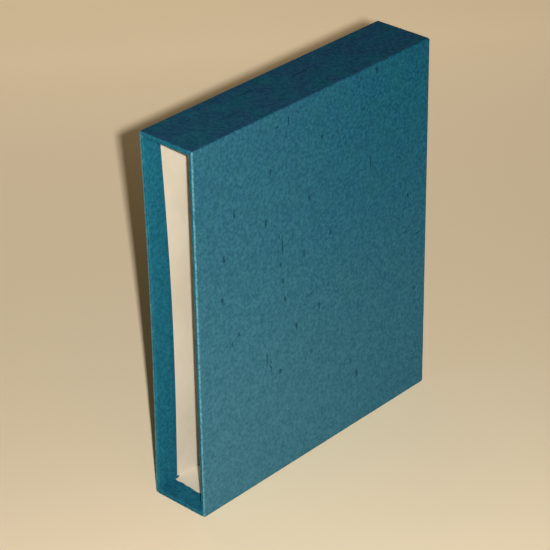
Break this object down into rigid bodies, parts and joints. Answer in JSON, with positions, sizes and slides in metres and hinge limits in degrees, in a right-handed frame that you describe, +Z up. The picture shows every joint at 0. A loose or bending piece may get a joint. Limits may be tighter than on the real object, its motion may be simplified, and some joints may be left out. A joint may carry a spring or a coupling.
{
  "type": "book slipcase",
  "caption": "Upright slipcase for a book: boards covered in mottled teal paper, open at the mouth and lined with white paper.",
  "frame": {"origin": "middle of the rectangle that the slipcase stands on", "axes": "+Z up, +Y from the open mouth towards the closed spine, +X across the thickness, out of the flat side that the picture shows"},
  "size_m": [0.051, 0.252, 0.3],
  "materials": {
    "cover_paper": "mottled teal leather-fibre paper, dull",
    "lining_paper": "smooth warm white paper, dull",
    "greyboard": "raw grey bookbinding board"
  },
  "bodies": {
    "root": {"left_side_board": "greyboard", "right_side_board": "greyboard", "spine_board": "greyboard", "head_board": "greyboard", "tail_board": "greyboard", "left_side_lining": "lining_paper", "right_side_lining": "lining_paper", "spine_lining": "lining_paper", "head_lining": "lining_paper", "tail_lining": "lining_paper", "side_cover": "cover_paper", "head_strip": "cover_paper", "tail_strip": "cover_paper"}
  },
  "joints": []
}
